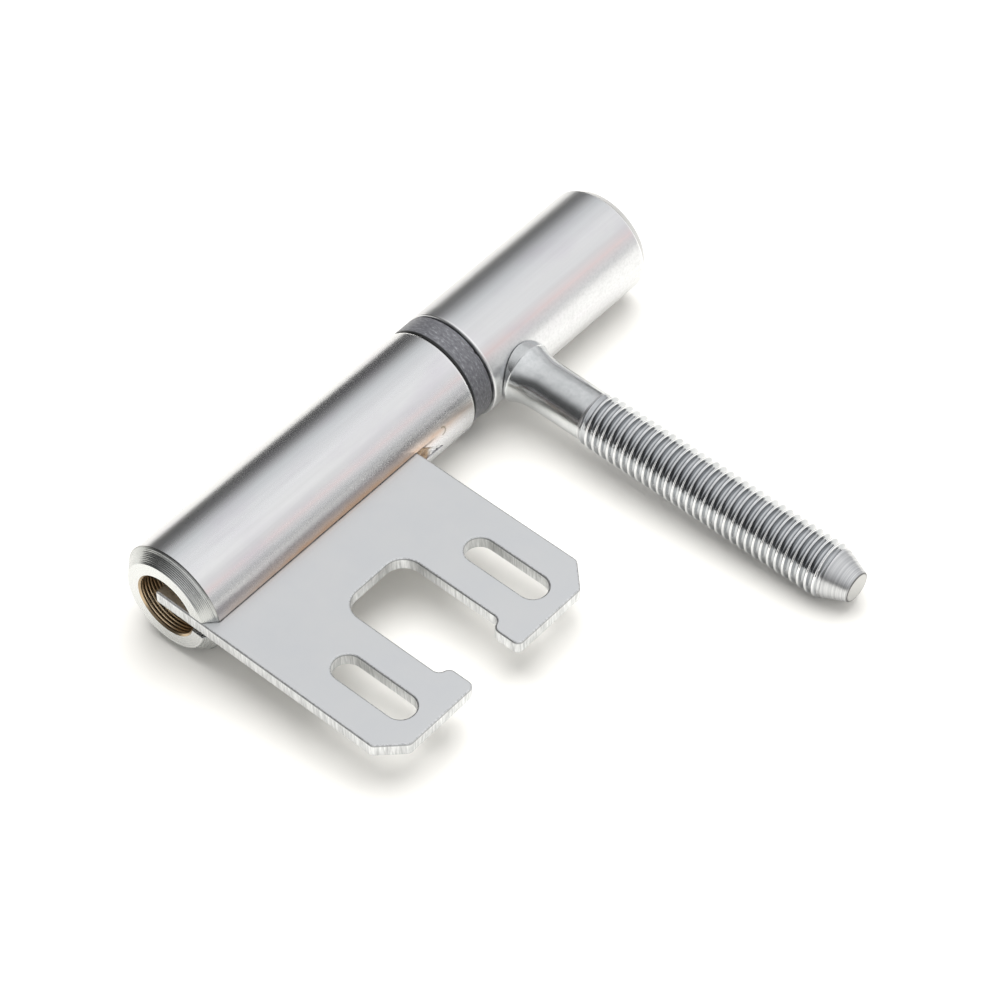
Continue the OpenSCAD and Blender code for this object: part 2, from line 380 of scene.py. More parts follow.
def slotted_lathe(profile, segments):
    """Turns a closed (radius, y) outline round the Y axis and leaves the slot open,
    with a small chamfer along its lips and flat walls between outside and bore."""
    count = len(profile)
    columns = segments + 3
    points, faces = [], []
    for i, (r, y) in enumerate(profile):
        before, after = profile[i - 1], profile[(i + 1) % count]
        run = math.dist(before, after)
        out_r, out_y = (after[1] - before[1]) / run, -(after[0] - before[0]) / run
        ease = LIP_CHAMFER * min(1.0, max(0.0, (SLANT_END_Y - y) / 0.5))
        top = slot_top(y)
        start = math.asin((top + ease) / r)
        end = math.asin((SLOT_LOW - ease) / r) + 2 * math.pi
        points.append((math.sqrt(r * r - top * top) - out_r * ease, y - out_y * ease, top))
        for k in range(segments + 1):
            angle = start + (end - start) * k / segments
            points.append((r * math.cos(angle), y, r * math.sin(angle)))
        low_x = math.sqrt(r * r - SLOT_LOW * SLOT_LOW)
        points.append((low_x - out_r * ease, y - out_y * ease, SLOT_LOW))
    for i in range(count):
        low, high = i * columns, (i + 1) % count * columns
        for k in range(columns - 1):
            faces.append((low + k, low + k + 1, high + k + 1, high + k))
    slant = [i for i, (r, y) in enumerate(profile) if abs(y - SLANT_START_Y) < 1e-6]
    tip = [i for i, (r, y) in enumerate(profile) if abs(y - SLANT_END_Y) < 1e-6]
    rear = list(range(slant[1], count)) + list(range(slant[0] + 1))
    front = list(range(slant[0], tip[0] + 1)) + list(range(tip[1], slant[1] + 1))
    whole = list(range(tip[1], count)) + list(range(tip[0] + 1))
    faces.append(tuple(i * columns for i in rear))
    faces.append(tuple(i * columns for i in front))
    faces.append(tuple(i * columns + columns - 1 for i in whole))
    return points, faces


def knuckle_profile():
    """The frame knuckle's closed (radius, y) outline, from the open end outside to
    the bore's mouth, with turned grooves on its bevel and rings in its bore."""
    length = math.hypot(END_BEVEL_LEN, END_BEVEL_DEPTH)
    slope_r, slope_y = END_BEVEL_DEPTH / length, END_BEVEL_LEN / length
    outline = []
    for k in range(BEVEL_STEPS + 1):
        t = k / BEVEL_STEPS
        depth = BEVEL_GROOVE * (1 + noise.noise(Vector((t * 7, 3, 7))))
        ridge = math.sin(math.pi * t * length / BEVEL_PITCH) ** 2
        cut = depth * ridge * min(1, 10 * t, 10 - 10 * t)
        r = BARREL_R - END_BEVEL_DEPTH + slope_r * length * t - slope_y * cut
        outline.append((r, OPEN_Y + slope_y * length * t + slope_r * cut))
    slant = list(np.linspace(SLANT_START_Y, SLANT_END_Y, 21))
    barrel = [OPEN_Y + END_BEVEL_LEN + 0.15, *np.arange(OPEN_Y + 4, SLANT_START_Y - 0.5, 1.5)]
    barrel += [*slant, SLANT_END_Y + 0.4, -2, -EDGE_BREAK - 0.15, -EDGE_BREAK]
    outline += [(BARREL_R, y) for y in barrel]
    outline += [(BARREL_R - 0.1, -0.1), (BARREL_R - EDGE_BREAK, 0)]
    outline += [(BORE_R + EDGE_BREAK, 0), (BORE_R, -EDGE_BREAK)]
    outline += [(BORE_R, y) for y in (-2, SLANT_END_Y + 0.4, *slant[::-1])]
    outline += [(BORE_R, y) for y in np.arange(SLANT_START_Y - 1.5, RINGS_END_Y, -1.5)]
    ring_steps = round((RINGS_END_Y - OPEN_Y - EDGE_BREAK) / RING_PITCH) * 8
    for y in np.linspace(RINGS_END_Y, OPEN_Y + EDGE_BREAK, ring_steps):
        wave = 0.5 - 0.5 * math.cos(2 * math.pi * (y - OPEN_Y - EDGE_BREAK) / RING_PITCH)
        outline.append((BORE_R + RING_DEPTH * wave ** 3, y))
    mouth = np.linspace(BORE_R + EDGE_BREAK, BARREL_R - END_BEVEL_DEPTH, 6)
    outline += [(r, OPEN_Y) for r in mouth[:-1]]
    return outline


def frame_knuckle():
    """The tube that is slotted for the plate."""
    points, faces = slotted_lathe(knuckle_profile(), TUBE_SEGMENTS)
    piece = make_piece("frame_knuckle_tube", points, faces, "frame_leaf", "frame_knuckle",
                       tube_zinc("knuckle_zinc", heat=True))
    piece.data.materials.append(bore_metal())
    piece.data.materials.append(turned_end())
    for face in piece.data.polygons:
        centre = lifted(face.center)
        radius = math.hypot(centre.x, centre.z)
        if radius < BORE_R + 0.4 and centre.y < -1:
            face.material_index = 1
        elif centre.y < OPEN_Y + END_BEVEL_LEN and radius < BARREL_R - 0.005:
            face.material_index = 2
    return piece


def plate_outline():
    """The plate's outline, counterclockwise, with its corners' radii."""
    middle = OPEN_Y + PLATE_W / 2
    run = math.sqrt((2 * LIP_ROUND) ** 2 - (2 * LIP_ROUND - (NOTCH_W - MOUTH_W) / 2) ** 2)
    step = (NOTCH_W - MOUTH_W) / 2
    lean = step / 2 * (2 * LIP_ROUND - step) / run
    bend = PLATE_REACH - LIP_LEN - run / 2
    corners = [
        (TONGUE_X, OPEN_Y, 0.35),
        (PLATE_REACH - CORNER_BEVEL, OPEN_Y, CORNER_ROUND),
        (PLATE_REACH, OPEN_Y + CORNER_BEVEL, CORNER_ROUND),
        (PLATE_REACH, middle - MOUTH_W / 2, CORNER_ROUND),
        (bend + lean, middle - MOUTH_W / 2, LIP_ROUND),
        (bend - lean, middle - NOTCH_W / 2, LIP_ROUND),
        (PLATE_REACH - NOTCH_DEPTH, middle - NOTCH_W / 2, NOTCH_ROUND),
    ]
    mirrored = [(x, 2 * middle - y, r) for x, y, r in corners[:0:-1]]
    corners += mirrored + [
        (SEAT_X, PLATE_FAR_Y, 0.35),
        (SEAT_X, OPEN_Y + TONGUE_W, 0.2),
        (TONGUE_X, OPEN_Y + TONGUE_W, 0.35),
    ]
    outline = rounded([c[:2] for c in corners], [c[2] for c in corners], 8)
    return divided(outline, STRIATION)


def hole_outline(middle_y):
    """One of the two screw slots, clockwise."""
    left = PLATE_REACH - HOLE_MARGIN - HOLE_LEN
    right = PLATE_REACH - HOLE_MARGIN
    half = HOLE_W / 2
    corners = [(left, middle_y - half), (left, middle_y + half),
               (right, middle_y + half), (right, middle_y - half)]
    return divided(rounded(corners, [half - 0.001] * 4, 14), STRIATION)


def sheared_wall(outline, points, faces, seed):
    """Rows of points from the top face over a sheared edge to the bottom face.
    Returns the top row's and the bottom row's first index, and a row's length."""
    ring = np.array(outline)
    tangent = np.roll(ring, -1, 0) - np.roll(ring, 1, 0)
    tangent /= np.linalg.norm(tangent, axis=1)[:, None]
    inward = np.stack([-tangent[:, 1], tangent[:, 0]], 1)
    first = len(points)
    total = len(ring)
    for inset, drop, rough in SHEAR_ROWS:
        for i, ((x, y), (nx, ny)) in enumerate(zip(ring, inward)):
            streak = noise.noise(Vector((x * 2.2, y * 2.2, seed + drop * 0.2)))
            streak += 0.7 * noise.noise(Vector((x * 6, y * 6, seed + drop * 0.5)))
            shift = inset + SHEAR_DEPTH * rough * streak
            points.append((x + nx * shift, y + ny * shift, PLATE_TOP - drop))
    for row in range(len(SHEAR_ROWS) - 1):
        low = first + row * total
        for i in range(total):
            on = (i + 1) % total
            faces.append((low + i, low + on, low + total + on, low + total + i))
    return first, first + (len(SHEAR_ROWS) - 1) * total, total


def frame_plate():
    """The sheared plate with its notch and two screw slots."""
    points, faces = [], []
    near, far = OPEN_Y + HOLE_EDGE, PLATE_FAR_Y - HOLE_EDGE
    loops = [plate_outline(), hole_outline(near), hole_outline(far)]
    rims = [sheared_wall(loop, points, faces, 11 * k) for k, loop in enumerate(loops)]
    for side in (0, 1):
        rows = [list(range(rim[side], rim[side] + rim[2])) for rim in rims]
        flat = [[Vector((*points[i][:2], 0)) for i in row] for row in rows]
        index = [i for row in rows for i in row]
        for a, b, c in tessellate_polygon(flat):
            faces.append((index[a], index[b], index[c]))
    piece = make_piece("fixing_plate", points, faces, "frame_leaf", "frame_plate",
                       plate_zinc())
    piece.data.materials.append(sheared_zinc())
    up = Vector((math.sin(REST_TILT), 0, math.cos(REST_TILT)))
    for face in piece.data.polygons:
        if abs(face.normal.dot(up)) > 0.9995:
            face.use_smooth = False
        else:
            face.material_index = 1
    return piece


def bearing_ring():
    """The loose ring between the knuckles, with a nick in its edge."""
    def worn(radius, y, angle):
        if radius < RING_R - 0.5:
            return radius
        round_it = (math.degrees(angle) - NICK_ANGLE) / NICK_WIDTH
        nick = math.exp(-round_it ** 2 - ((y - RING_LEN) / NICK_LEN) ** 2)
        rub = WEAR_DEPTH * noise.noise(Vector((math.cos(angle) * 4, y, math.sin(angle) * 4)))
        return radius - NICK_DEPTH * nick + rub

    low, high = 2 * FACE_GAP, RING_LEN
    outline = rounded([(RING_HOLE_R, low), (RING_R, low), (RING_R, high), (RING_HOLE_R, high)],
                      [0.15, 0.32, 0.32, 0.15], 5)
    outline = divided(outline, 0.3)
    points, faces = lathe(outline, RING_SEGMENTS, wave=worn)
    points = [(x - RING_SHIFT, y, z) for x, y, z in points]
    return make_piece("bearing_ring_part", points, faces, "bearing_ring", "bearing_washer",
                      ring_plastic())


def seat_drilled(piece):
    """Cuts the stud's round seat into the piece and returns its new mesh."""
    drill = bpy.data.meshes.new("seat_drill")
    sides, walls = lathe([(SPIGOT_R, SPIGOT_X), (SPIGOT_R, BARREL_R + 2)], SEAT_SEGMENTS,
                         closed=False)
    corners = [(y, STUD_Y + x, z) for x, y, z in sides]
    ends = [tuple(range(SEAT_SEGMENTS)), tuple(range(2 * SEAT_SEGMENTS - 1, SEAT_SEGMENTS - 1, -1))]
    drill.from_pydata(laid_down(corners).tolist(), [], walls + ends)
    cutter = bpy.data.objects.new("seat_drill", drill)
    bpy.context.scene.collection.objects.link(cutter)
    cut = piece.modifiers.new("seat", "BOOLEAN")
    cut.object = cutter
    cut.solver = "EXACT"
    bpy.context.view_layer.update()
    evaluated = piece.evaluated_get(bpy.context.evaluated_depsgraph_get())
    mesh = bpy.data.meshes.new_from_object(evaluated)
    piece.modifiers.clear()
    piece.data = mesh
    bpy.data.objects.remove(cutter)
    return mesh


def door_knuckle():
    """The closed knuckle, solid but for the pin's bore and the stud's seat."""
    outline = rounded([
        (PIN_R, DOOR_Y), (BARREL_R, DOOR_Y),
        (BARREL_R, CAP_Y - CAP_BEVEL_LEN), (BARREL_R - CAP_BEVEL_DEPTH, CAP_Y),
        (0.02, CAP_Y), (0.02, PIN_TOP_Y), (PIN_R, PIN_TOP_Y)],
        [0.2, EDGE_BREAK, 0.5, 0.3, 0, 0, 0], 5)
    points, faces = lathe(divided(outline, 2.5), TUBE_SEGMENTS)
    piece = make_piece("door_knuckle_barrel", points, faces, "door_leaf", "door_knuckle",
                       tube_zinc("barrel_zinc", heat=False))
    mesh = seat_drilled(piece)
    mesh.materials.append(faced_zinc("cap_face", 1.0))
    # The bevel's copy is darker: painted shade
    mesh.materials.append(faced_zinc("cap_bevel", 0.62))
    for face in mesh.polygons:
        centre = lifted(face.center)
        if centre.y > CAP_Y - 0.05 or centre.y < DOOR_Y + 0.05:
            face.material_index = 1
        elif centre.y > CAP_Y - CAP_BEVEL_LEN + 0.1:
            face.material_index = 2
    return piece


def hinge_pin():
    """The pin, pressed into the door knuckle."""
    outline = rounded([(0.02, PIN_LOW_Y), (PIN_R, PIN_LOW_Y), (PIN_R, PIN_TOP_Y), (0.02, PIN_TOP_Y)],
                      [0, 1.0, 0.6, 0], 6)
    points, faces = lathe(divided(outline, 1.5), PIN_SEGMENTS)
    return make_piece("hinge_pin_rod", points, faces, "door_leaf", "hinge_pin",
                      pin_steel())


def cone_radius(x):
    """Radius of the point's cone, which cuts the last turns of the thread."""
    return CREST_R - (CREST_R - POINT_R) * (x - CONE_X) / (STUD_REACH - CONE_X)


def thread_grid(points, faces, segments):
    """A rolled thread whose rows of points follow the helix, from the neck to the cone."""
    per_turn = len(THREAD_SHAPE)
    turns = math.ceil((THREAD_END_X - THREAD_X) / PITCH) + 4
    rows = turns * per_turn
    depth = CREST_R - ROOT_R
    base = len(points)
    for j in range(segments):
        lead = PITCH * j / segments
        angle = 2 * math.pi * j / segments
        for i in range(rows):
            turn, k = divmod(i, per_turn)
            offset, height = THREAD_SHAPE[k]
            x = THREAD_X + PITCH * (turn - 1.5 + offset) + lead
            full = ROOT_R + depth * height
            begin = min(1.0, max(0.0, (x - THREAD_X) / RUN_IN))
            r = NECK_R + (full - NECK_R) * begin * begin * (3 - 2 * begin)
            if x <= THREAD_X:
                x, r = THREAD_X, NECK_R
            r = min(r, cone_radius(max(x, CONE_X)))
            if x >= THREAD_END_X:
                x, r = THREAD_END_X, cone_radius(THREAD_END_X)
            points.append((x, r, angle))
    for j in range(segments):
        on, skip = ((j + 1) % segments, 0) if j + 1 < segments else (0, per_turn)
        for i in range(rows - 1 - per_turn):
            a, b = base + j * rows + i, base + on * rows + i + skip
            faces.append((a, a + 1, b + 1, b))


def join_rings(faces, first, count, segments):
    """Faces between rings of points that follow one another."""
    for i in range(count - 1):
        low, high = first + i * segments, first + (i + 1) * segments
        for k in range(segments):
            on = (k + 1) % segments
            faces.append((low + k, low + on, high + on, high + k))


def saddle_x(radius, angle):
    """Where a line along the stud, at this radius, meets the saddle on the barrel."""
    return math.sqrt(SADDLE_R ** 2 - (radius * math.sin(angle)) ** 2)


def stud():
    """The stud: flange with its saddle, neck, thread, cone and flat point."""
    points, faces = [], []

    def ring(x, r):
        points.extend((x, r, angle) for angle in angles)

    def saddle(r, lift=0.0):
        points.extend((saddle_x(r, angle) + lift, r, angle) for angle in angles)

    angles = [2 * math.pi * k / STUD_SEGMENTS for k in range(STUD_SEGMENTS)]
    ring(SPIGOT_X, 0.0)
    ring(SPIGOT_X, SPIGOT_R - 0.3)
    ring(SPIGOT_X + 0.3, SPIGOT_R)
    saddle(SPIGOT_R)
    saddle(FLANGE_R - 0.1)
    saddle(FLANGE_R, lift=0.1)
    ring(FLANGE_X - 0.42, FLANGE_R)
    ring(FLANGE_X - 0.32, FLANGE_R - 0.1)
    for share in (k / FLARE_STEPS for k in range(FLARE_STEPS + 1)):
        ring(FLANGE_X - 0.3 + FLARE_LEN * share,
             NECK_R + (FLANGE_R - 0.12 - NECK_R) * (1 - share) ** FLARE_POWER)
    for x in np.linspace(FLANGE_X + FLARE_LEN + 0.5, THREAD_X, 8):
        ring(x, NECK_R)
    join_rings(faces, 0, len(points) // STUD_SEGMENTS, STUD_SEGMENTS)
    thread_grid(points, faces, STUD_SEGMENTS)
    tail = len(points)
    edge = [(x, cone_radius(x)) for x in np.linspace(THREAD_END_X, STUD_REACH - 0.15, 10)]
    edge += [(STUD_REACH - 0.05, POINT_R - 0.03), (STUD_REACH, POINT_R - 0.13),
             (STUD_REACH, POINT_R - 0.5), (STUD_REACH, 1.2), (STUD_REACH, 0.0)]
    for x, r in edge:
        ring(x, r)
    join_rings(faces, tail, len(edge), STUD_SEGMENTS)
    placed = [(x, STUD_Y + r * math.cos(a), r * math.sin(a)) for x, r, a in points]
    return make_piece("drill_in_stud_screw", placed, faces, "door_leaf", "drill_in_stud",
                      stud_zinc(), sharp=36)


def patch(points, faces, corner, across, along):
    """A grid of faces over corner(u, v), with u and v from 0 to 1."""
    base = len(points)
    for i in range(across + 1):
        for k in range(along + 1):
            points.append(corner(i / across, k / along))
    for i in range(across):
        for k in range(along):
            a = base + i * (along + 1) + k
            faces.append((a, a + 1, a + along + 2, a + along + 1))


def lump(x, y, z, size):
    """Unevenness of the filler."""
    return size * noise.noise(Vector((x * 1.3, y * 1.3, z * 1.3)))


def slot_fill(u, v):
    """The filler in the slot behind the plate's far end."""
    y = PLATE_FAR_Y + u * (FILL_END_Y - PLATE_FAR_Y)
    z = SLOT_LOW + v * (slot_top(y) - SLOT_LOW)
    sunk = 0.14 + 0.3 * u + 0.12 * math.sin(math.pi * v)
    return (math.sqrt(BARREL_R ** 2 - z * z) - sunk + lump(2 * y, 2 * z, 3, 0.16), y, z)


def low_seam(u, v):
    """The seam below the plate, thinner towards both ends."""
    y = SEAM_START_Y + u * (PLATE_FAR_Y - SEAM_START_Y)
    end = min(1.0, 12 * u, 12 * (1 - u)) ** 0.5
    bulge = 1 - 0.35 * math.sin(math.pi * v)
    reach = (SEAM_SIZE + lump(y * 0.8, 5, v, 0.45)) * end * bulge
    return (BARREL_R - 0.2 + reach * math.cos(math.pi / 2 * v), y,
            PLATE_LOW - reach * math.sin(math.pi / 2 * v))


def lip_bead(u, v):
    """A thin bead along the slot's slanted upper lip."""
    place = u * (LIP_BEAD_STEPS - 1)
    k = min(int(place), LIP_BEAD_STEPS - 2)
    rows = np.linspace(SLANT_START_Y - 0.6, SLANT_END_Y - 0.5, LIP_BEAD_STEPS)[k:k + 2]
    start, end = [np.array((math.sqrt(BARREL_R ** 2 - slot_top(y) ** 2) - 0.12, y,
                            slot_top(y) - 0.16)) for y in rows]
    p = start + (end - start) * (place - k)
    size = LIP_BEAD_R * min(1.0, 6 * u, 6 * (1 - u)) + 0.01
    angle = 2 * math.pi * v
    return (p[0] + size * math.cos(angle), p[1] + size * 0.5 * math.sin(angle),
            p[2] + size * math.sin(angle))


def braze():
    """The filler that holds the plate in the slot."""
    points, faces = [], []
    patch(points, faces, slot_fill, 30, 30)
    patch(points, faces, low_seam, 90, 12)
    patch(points, faces, lip_bead, 48, 12)
    return make_piece("plate_braze", points, faces, "frame_leaf", "plate_weld",
                      braze_metal())


def set_stops(node, stops):
    """Gives a colour ramp its (position, colour) stops, where a number is a grey."""
    marks = node.color_ramp.elements
    while len(marks) < len(stops):
        marks.new(0.5)
    for mark, (position, colour) in zip(marks, stops):
        mark.position = position
        mark.color = (*colour, 1) if isinstance(colour, tuple) else (colour, colour, colour, 1)


class Nodes:
    """Short calls for a material's nodes."""

    def __init__(self, name):
        self.material = bpy.data.materials.new(name)
        self.material.use_nodes = True
        self.tree = self.material.node_tree
        self.shader = self.tree.nodes["Principled BSDF"]
        place = self.tree.nodes.new("ShaderNodeTexCoord")
        self.place = place.outputs["Object"]

    def put(self, value, socket):
        if isinstance(value, bpy.types.NodeSocket):
            self.tree.links.new(value, socket)
        else:
            socket.default_value = value

    def math(self, kind, a, b=0.0, clamp=False):
        node = self.tree.nodes.new("ShaderNodeMath")
        node.operation = kind
        node.use_clamp = clamp
        self.put(a, node.inputs[0])
        self.put(b, node.inputs[1])
        return node.outputs[0]

    def split(self, vector):
        node = self.tree.nodes.new("ShaderNodeSeparateXYZ")
        self.put(vector, node.inputs[0])
        return node.outputs

    def join(self, x, y, z):
        node = self.tree.nodes.new("ShaderNodeCombineXYZ")
        for value, socket in zip((x, y, z), node.inputs):
            self.put(value, socket)
        return node.outputs[0]

    def noise(self, vector, scale, detail=2.0, roughness=0.5):
        node = self.tree.nodes.new("ShaderNodeTexNoise")
        self.put(vector, node.inputs["Vector"])
        node.inputs["Scale"].default_value = scale
        node.inputs["Detail"].default_value = detail
        node.inputs["Roughness"].default_value = roughness
        return node.outputs["Fac"]

    def ramp(self, value, *stops):
        node = self.tree.nodes.new("ShaderNodeValToRGB")
        self.put(value, node.inputs[0])
        set_stops(node, stops)
        return node.outputs["Color"]

    def mix(self, factor, a, b, blend="MIX"):
        node = self.tree.nodes.new("ShaderNodeMix")
        node.data_type = "RGBA"
        node.blend_type = blend
        self.put(factor, node.inputs[0])
        self.put(a if not isinstance(a, tuple) else (*a, 1), node.inputs[6])
        self.put(b if not isinstance(b, tuple) else (*b, 1), node.inputs[7])
        return node.outputs[2]

    def bump(self, height, strength, distance):
        node = self.tree.nodes.new("ShaderNodeBump")
        node.inputs["Strength"].default_value = strength
        node.inputs["Distance"].default_value = distance * MM
        self.put(height, node.inputs["Height"])
        self.put(node.outputs[0], self.shader.inputs["Normal"])

    def finish(self, colour, roughness, metallic=1.0):
        self.put(colour, self.shader.inputs["Base Color"])
        self.put(roughness, self.shader.inputs["Roughness"])
        self.shader.inputs["Metallic"].default_value = metallic
        return self.material


def spread(nodes, value, low, high):
    """A 0 to 1 value as a value from low to high."""
    return nodes.math("ADD", nodes.math("MULTIPLY", value, high - low), low)


def band(nodes, value, middle, width):
    """1 where the value is the middle, down to 0 at the width either side."""
    away = nodes.math("ABSOLUTE", nodes.math("SUBTRACT", value, middle))
    share = nodes.math("SUBTRACT", 1.0, nodes.math("DIVIDE", away, width), clamp=True)
    return nodes.math("MULTIPLY", share, share)


def times(nodes, *values):
    """The product of two or more values."""
    product = values[0]
    for value in values[1:]:
        product = nodes.math("MULTIPLY", product, value)
    return product


def tube_bands(n, colour, angle, wide, heat):
    """A faint pink and a faint blue band along the tube."""
    pink = times(n, band(n, angle, math.radians(41), math.radians(9 if heat else 13)),
                 spread(n, wide, 0.4, 1.3))
    colour = n.mix(n.math("MULTIPLY", pink, 0.9 if heat else 1.2, clamp=True), colour, BAND_PINK)
    blue = band(n, angle, math.radians(88), math.radians(22))
    return n.mix(times(n, blue, 0.5), colour, BAND_BLUE)


def heat_marks(n, colour, angle, y, wide):
    """A darker grey band, a brown tint and burnt filler along the plate's seam."""
    seam_angle = math.asin(PLATE_TOP / BARREL_R) - REST_TILT
    patch = n.noise(n.place, 320, 3)
    beside = n.math("DIVIDE", n.math("SUBTRACT", (PLATE_FAR_Y + 5) * MM, y), 7 * MM, clamp=True)
    # A darker grey band above the seam, fainter past the plate's far end
    scale = n.math("MULTIPLY", band(n, angle, seam_angle + math.radians(11), math.radians(15)),
                   spread(n, wide, 0.8, 1.7), clamp=True)
    colour = n.mix(times(n, scale, spread(n, beside, 0.12, 0.95)), colour, SEAM_GREY_BAND)
    middle = band(n, y, (OPEN_Y + 32) * MM, 32 * MM)
    tint = times(n, band(n, angle, seam_angle + math.radians(3), math.radians(15)),
                 n.math("POWER", middle, 0.3))
    tint = n.math("MULTIPLY", tint, spread(n, patch, 0.8, 1.9), clamp=True)
    colour = n.mix(tint, colour, HEAT_TINT)
    spots = spread(n, n.noise(n.place, 900, 3), 0.6, 3.6)
    burn = n.math("MULTIPLY", band(n, angle, seam_angle, math.radians(2.6)),
                  times(n, beside, spots), clamp=True)
    return n.mix(burn, colour, HEAT_BURN)


def staking_mark(n, colour, angle, y):
    """Painted shade on part of the ring of a round punch mark beside the slot's far end; the mesh
    has no dent there.
    """
    across = times(n, n.math("SUBTRACT", angle, math.radians(STAKE_ANGLE)), BARREL_R * MM)
    along = n.math("SUBTRACT", y, STAKE_Y * MM)
    # A half ring of painted shade where the dent's wall would be
    stake = times(n, band(n, from_axis(n, across, along), 0.75 * MM, 0.34 * MM),
                  n.math("GREATER_THAN", along, -0.1 * MM))
    return n.mix(times(n, stake, 0.9), colour, STAKE_PAINTED_SHADE)


def mottled(n, colour, angle, strength):
    """Fine mottling on the tube's lower front."""
    speck = n.noise(n.place, MOTTLE_SCALE, 5, 0.72)
    below = n.math("DIVIDE", n.math("SUBTRACT", math.radians(MOTTLE_ANGLE), angle),
                   math.radians(MOTTLE_FADE), clamp=True)
    speckled = n.mix(1.0, colour, n.ramp(speck, (0.36, 0.93), (0.54, 1.03), (0.68, 1.07)),
                     "MULTIPLY")
    return n.mix(times(n, below, strength), colour, speckled)


def tube_zinc(name, heat):
    """Satin zinc on a drawn tube: fine streaks along it, faint bands, stains and
    mottling, painted highlights along its end edges and, with heat, the marks
    beside the plate's seam."""
    n = Nodes(name)
    x, y, z = n.split(n.place)
    angle = n.math("ARCTAN2", z, x)
    arc = times(n, angle, BARREL_R * MM)
    drawn = n.join(arc, times(n, y, 0.03), 0.0)
    streak = n.noise(drawn, 900, 3, 0.6)
    wide = n.noise(drawn, 160, 2, 0.5)
    grain = n.noise(n.place, 2600, 2, 0.6)
    colour = n.ramp(wide, (0.25, TUBE_COOL), (0.75, TUBE_WARM))
    colour = tube_bands(n, colour, angle, wide, heat)
    stain = n.noise(n.join(arc, times(n, y, 0.35), 0.0), 150, 4, 0.6)
    colour = n.mix(n.ramp(stain, (0.5, 0.0), (0.7, 0.55)), colour, TUBE_STAIN)
    if heat:
        colour = heat_marks(n, colour, angle, y, wide)
        colour = staking_mark(n, colour, angle, y)
    colour = n.mix(1.0, colour, n.ramp(streak, (0.3, 0.93), (0.7, 1.0)), "MULTIPLY")
    colour = mottled(n, colour, angle, 0.4 if heat else 1.0)
    # Painted highlights along the edge breaks and the edge of the cap's bevel
    for edge_y in (-EDGE_BREAK, DOOR_Y + EDGE_BREAK, CAP_Y - CAP_BEVEL_LEN):
        colour = n.mix(band(n, y, edge_y * MM, 0.3 * MM), colour, EDGE_PAINTED_HIGHLIGHT)
    n.bump(n.math("ADD", streak, times(n, grain, 0.3)), 0.16, 0.01)
    dull = 0.0 if heat else 0.07
    grainy = n.math("ADD", times(n, grain, 0.4), wide)
    return n.finish(colour, spread(n, grainy, 0.2 + dull, 0.3 + dull))


def from_axis(n, across, up):
    """Distance from the axis that two coordinates are measured from."""
    return n.math("SQRT", n.math("ADD", times(n, across, across), times(n, up, up)))


def bore_metal():
    """Brownish, oily film in the bore."""
    n = Nodes("bore_film")
    y = n.split(n.place)["Y"]
    rings = n.noise(n.join(0.0, y, 0.0), 2200, 2)
    colour = n.ramp(rings, (0.3, BORE_BROWN), (0.7, BORE_TAN))
    n.bump(rings, 0.4, 0.03)
    return n.finish(colour, 0.28)


def turned_end():
    """The turned bevel and end face, with fine rings."""
    n = Nodes("turned_zinc")
    x, y, z = n.split(n.place)
    radius = from_axis(n, x, z)
    rings = n.noise(n.join(radius, y, 0.0), 5200, 2, 0.6)
    smudge = n.noise(n.place, 350, 3)
    colour = n.ramp(smudge, (0.3, TURNED_DARK), (0.7, TURNED_PALE))
    burr = n.math("MULTIPLY", band(n, radius, BARREL_R * MM, 0.22 * MM),
                  spread(n, smudge, 0.2, 1.6), clamp=True)
    colour = n.mix(burr, colour, TURNED_BURR)
    flat = n.math("LESS_THAN", y, (OPEN_Y + 0.04) * MM)
    colour = n.mix(flat, colour, TURNED_FLAT)
    n.bump(rings, 0.45, 0.02)
    return n.finish(colour, spread(n, rings, 0.2, 0.34))


def faced_zinc(name, shade):
    """Faces across the barrel, with fine rings from the lathe. A shade below 1 gives a darker copy:
    painted shade.
    """
    n = Nodes(name)
    x, _, z = n.split(n.place)
    radius = from_axis(n, x, z)
    rings = n.noise(n.join(radius, 0.0, 0.0), 3600, 2, 0.6)
    cloud = n.noise(n.place, 220, 3)
    colour = n.ramp(cloud, (0.3, FACED_COOL), (0.7, FACED_WARM))
    # Painted shade for the darker copies
    colour = n.mix(1.0, colour, (shade, shade, shade), "MULTIPLY")
    n.bump(rings, 0.35, 0.01)
    return n.finish(colour, spread(n, rings, 0.24, 0.34))


def plate_zinc():
    """Matte zinc on the plate's rolled faces."""
    n = Nodes("plate_zinc")
    grain = n.noise(n.place, 3800, 2, 0.6)
    cloud = n.noise(n.place, 130, 4, 0.55)
    colour = n.ramp(cloud, (0.3, PLATE_COOL), (0.7, PLATE_WARM))
    n.bump(n.math("ADD", grain, n.math("MULTIPLY", cloud, 1.5)), 0.3, 0.012)
    return n.finish(colour, spread(n, cloud, 0.36, 0.46))


def untilted(n, x, z):
    """The place along the stud and the height above its middle, before the tilt."""
    cosine, sine = math.cos(REST_TILT), math.sin(REST_TILT)
    along = n.math("SUBTRACT", times(n, x, cosine), times(n, z, sine))
    height = n.math("ADD", times(n, x, sine), times(n, z, cosine))
    return along, height


def sheared_zinc():
    """The plate's sheared edges, with streaks from its top to its bottom and a painted
    dark reflection along the line where the top edge rolls over."""
    n = Nodes("sheared_zinc")
    x, y, z = n.split(n.place)
    lines = n.noise(n.join(x, y, times(n, z, 0.08)), 3000, 3, 0.6)
    colour = n.ramp(lines, (0.3, SHEAR_DARK), (0.7, SHEAR_PALE))
    # Painted dark reflection just below the top edge
    roll = band(n, untilted(n, x, z)[1], (PLATE_TOP - 0.2) * MM, 0.2 * MM)
    roll = n.math("MULTIPLY", roll, spread(n, lines, 0.5, 1.3), clamp=True)
    colour = n.mix(roll, colour, SHEAR_PAINTED_REFLECTION)
    n.bump(lines, 0.7, 0.05)
    return n.finish(colour, spread(n, lines, 0.42, 0.3))


